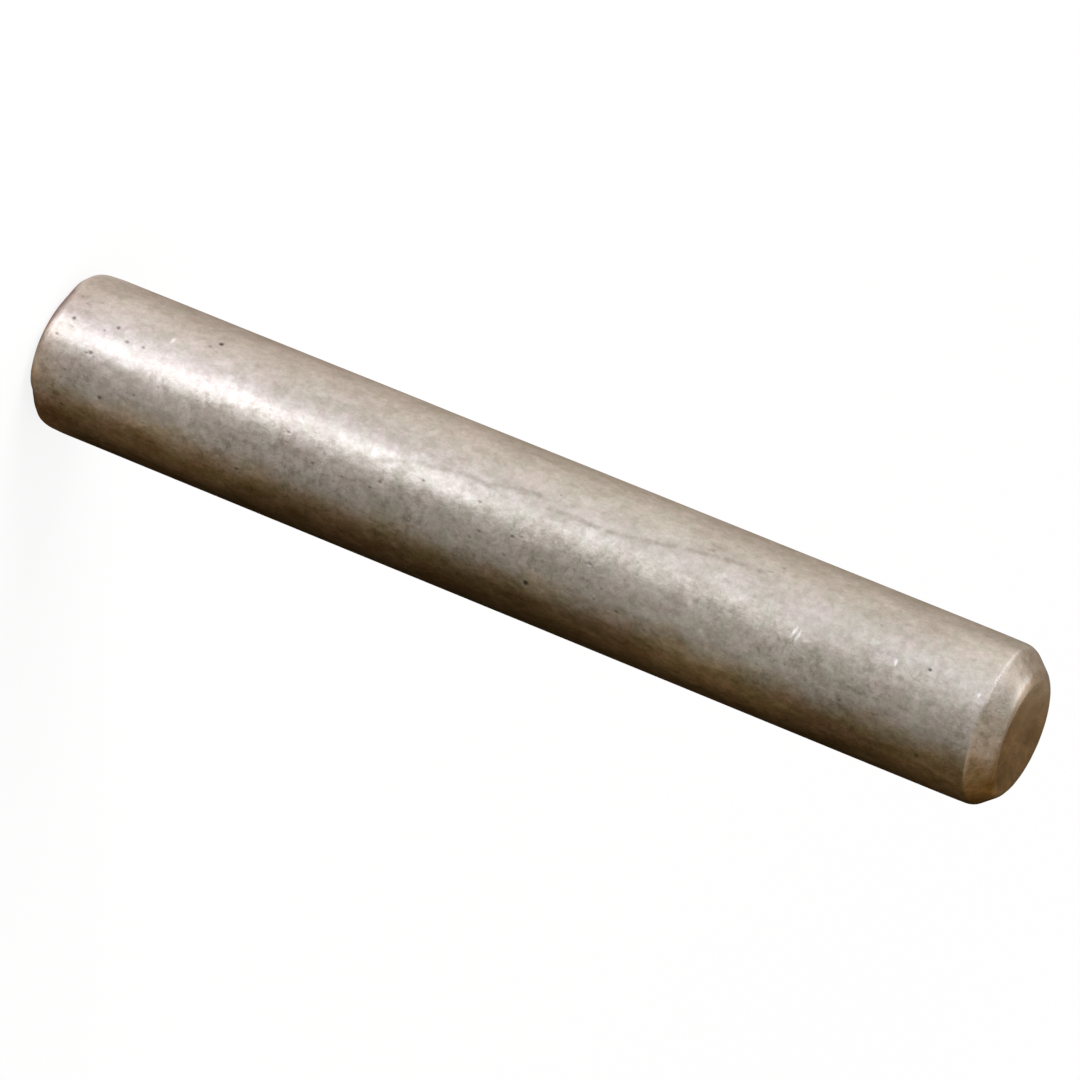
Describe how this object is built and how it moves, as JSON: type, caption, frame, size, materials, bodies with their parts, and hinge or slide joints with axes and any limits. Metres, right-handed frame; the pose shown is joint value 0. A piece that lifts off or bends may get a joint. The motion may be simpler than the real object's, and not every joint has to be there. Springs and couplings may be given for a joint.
{
  "type": "valve handle pin",
  "caption": "Plain round steel dowel pin with a long bevel on its lead end, a short bevel on its tail end and flat end faces, for locking a handle on a valve stem.",
  "frame": {"origin": "centre of the flat tail face, which the pin stands on", "axes": "+Z along the pin's axis, from the tail end with the short bevel to the lead end with the long bevel"},
  "size_m": [0.0064, 0.0064, 0.0413],
  "materials": {
    "worn_steel": "worn ground steel with a thin warm tarnish, small dark pits and a few bright nicks"
  },
  "bodies": {
    "root": {"handle_pin": "worn_steel"}
  },
  "joints": []
}
